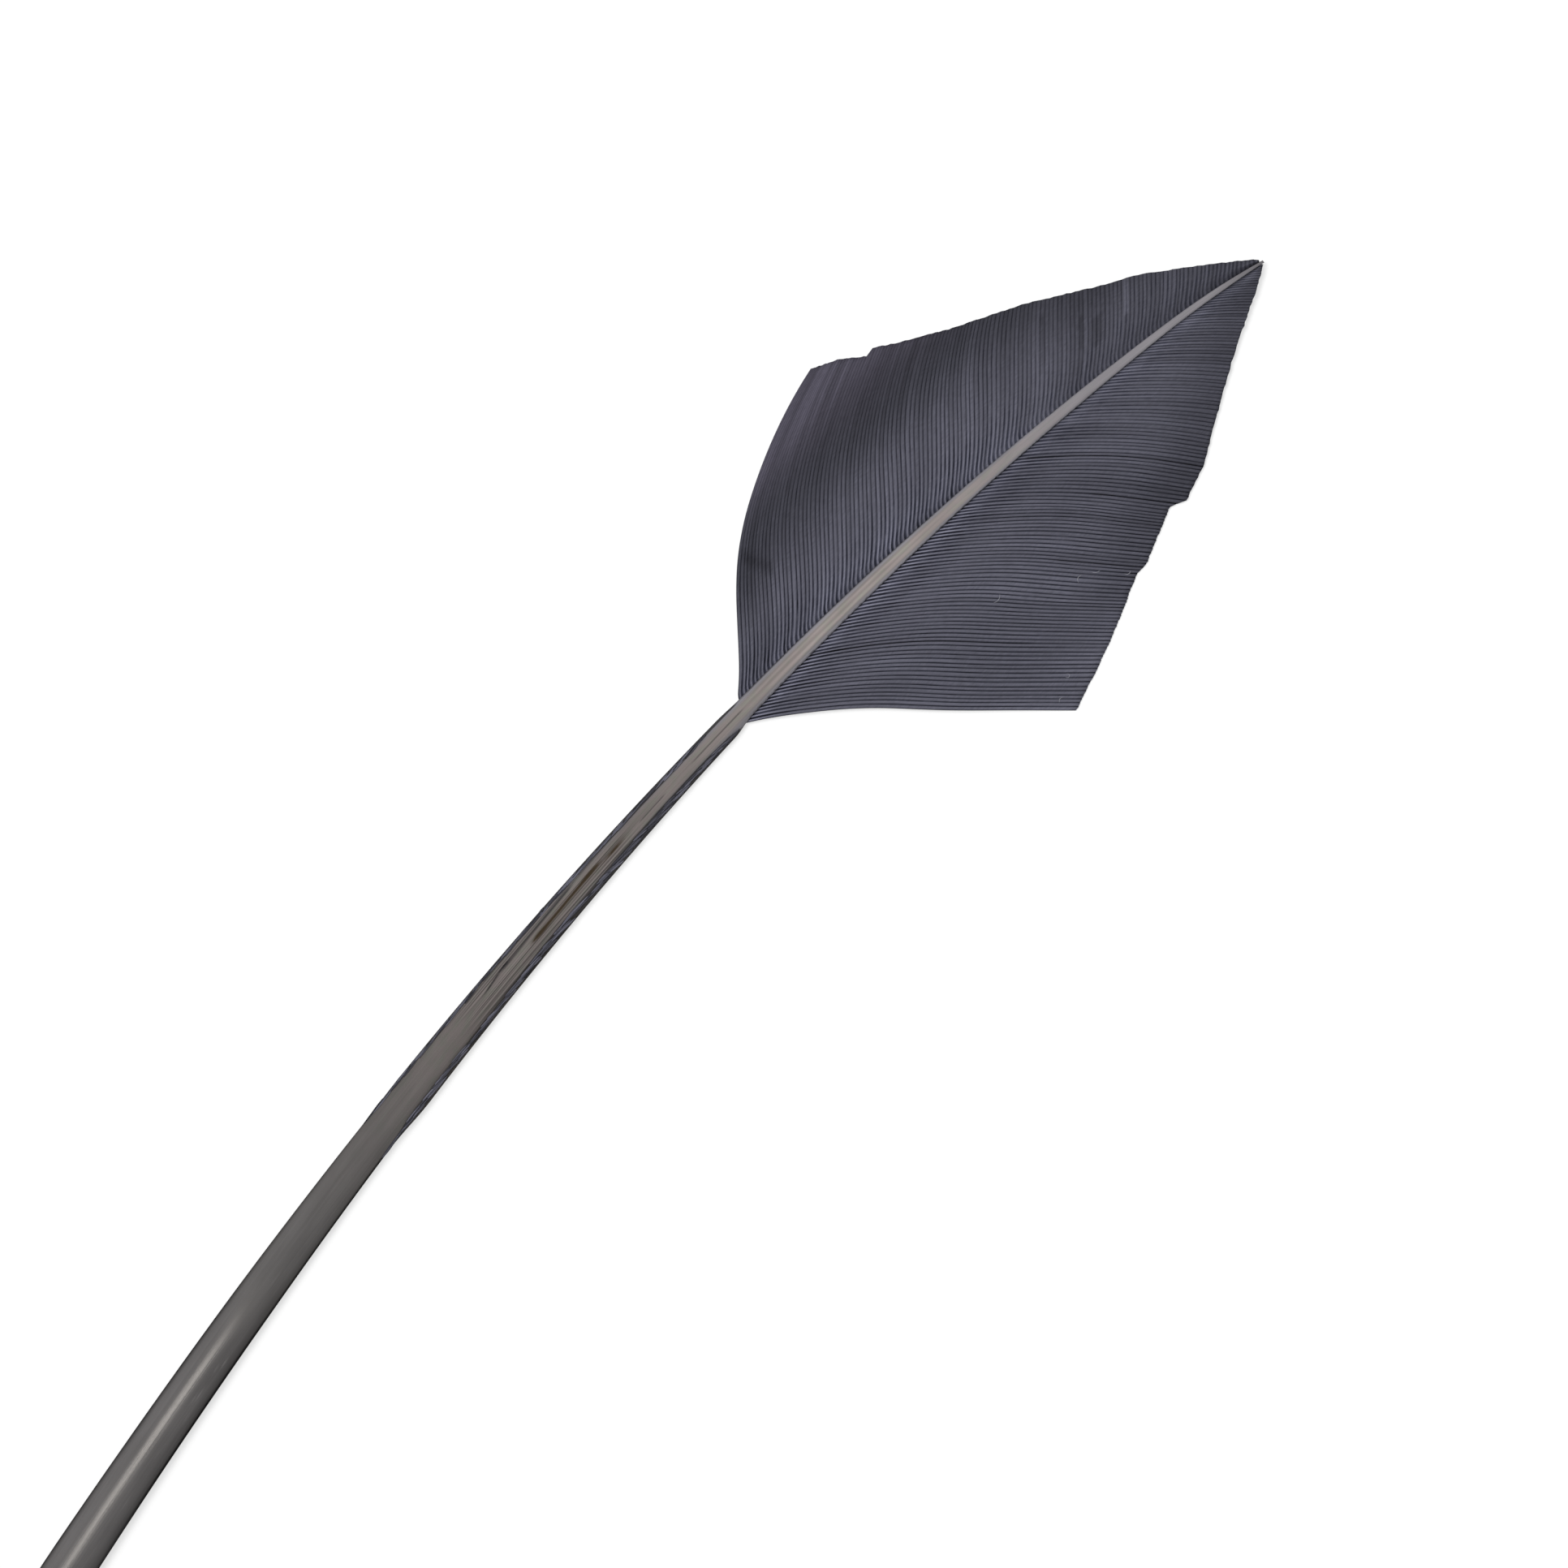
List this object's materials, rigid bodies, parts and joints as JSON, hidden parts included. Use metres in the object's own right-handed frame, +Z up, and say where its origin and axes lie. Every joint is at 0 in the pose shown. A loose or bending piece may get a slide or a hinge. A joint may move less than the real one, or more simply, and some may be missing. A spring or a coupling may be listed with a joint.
{
  "type": "turkey quill feather",
  "caption": "Dyed turkey quill feather lying under side up: a bare round quill and rachis with the vane trimmed to an arrowhead, for millinery and craft trimming.",
  "frame": {"origin": "centre of the bounding box's underside, on the surface that the feather lies on", "axes": "+X along the straight line from the end of the quill to the tip of the vane, +Z up out of the feather's under side, left vane on the +Y side"},
  "size_m": [0.2632, 0.0548, 0.0061],
  "materials": {
    "feather": "slate-grey dyed keratin: matt ridged barbs on the vane, horn-like satin on the quill"
  },
  "bodies": {
    "root": {"feather": "feather"}
  },
  "joints": []
}
